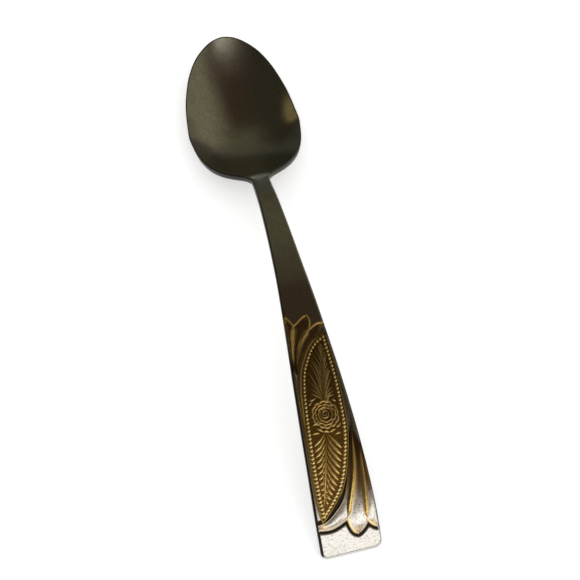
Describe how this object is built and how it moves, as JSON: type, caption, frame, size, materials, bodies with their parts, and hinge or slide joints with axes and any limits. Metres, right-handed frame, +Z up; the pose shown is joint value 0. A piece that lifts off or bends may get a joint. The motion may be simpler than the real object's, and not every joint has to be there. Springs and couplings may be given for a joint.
{
  "type": "teaspoon",
  "caption": "Teaspoon with an egg-shaped bowl, an arched flat handle that widens to a square end, and gilded coined relief of a rose medallion and petals.",
  "frame": {"origin": "centre of the bounding box in plan, on the surface that the spoon rests on", "axes": "+Y from the handle's end to the bowl's tip, +Z up out of the bowl, +X across to the right seen from above with the bowl at the far end"},
  "size_m": [0.0296, 0.138, 0.018],
  "materials": {
    "steel": "polished stainless steel, a little worn, olive in warm light",
    "gilt": "thin gold plating on coined relief, bright on high spots and worn to steel in places"
  },
  "bodies": {
    "root": {"bowl": "steel", "neck": "steel", "stem": "steel", "handle_panel": "steel", "plain_tip": "steel", "medallion_ground": "gilt", "medallion_band": "gilt", "bead_border": "gilt", "rose_petals": "gilt", "rose_heart": "gilt", "collar_leaves": "gilt", "upper_spray": "gilt", "lower_spray": "gilt", "upper_petal_left": "gilt", "upper_petal_middle": "gilt", "upper_petal_right": "gilt", "lower_petal_left": "gilt", "lower_petal_middle": "gilt", "lower_petal_right": "gilt"}
  },
  "joints": []
}
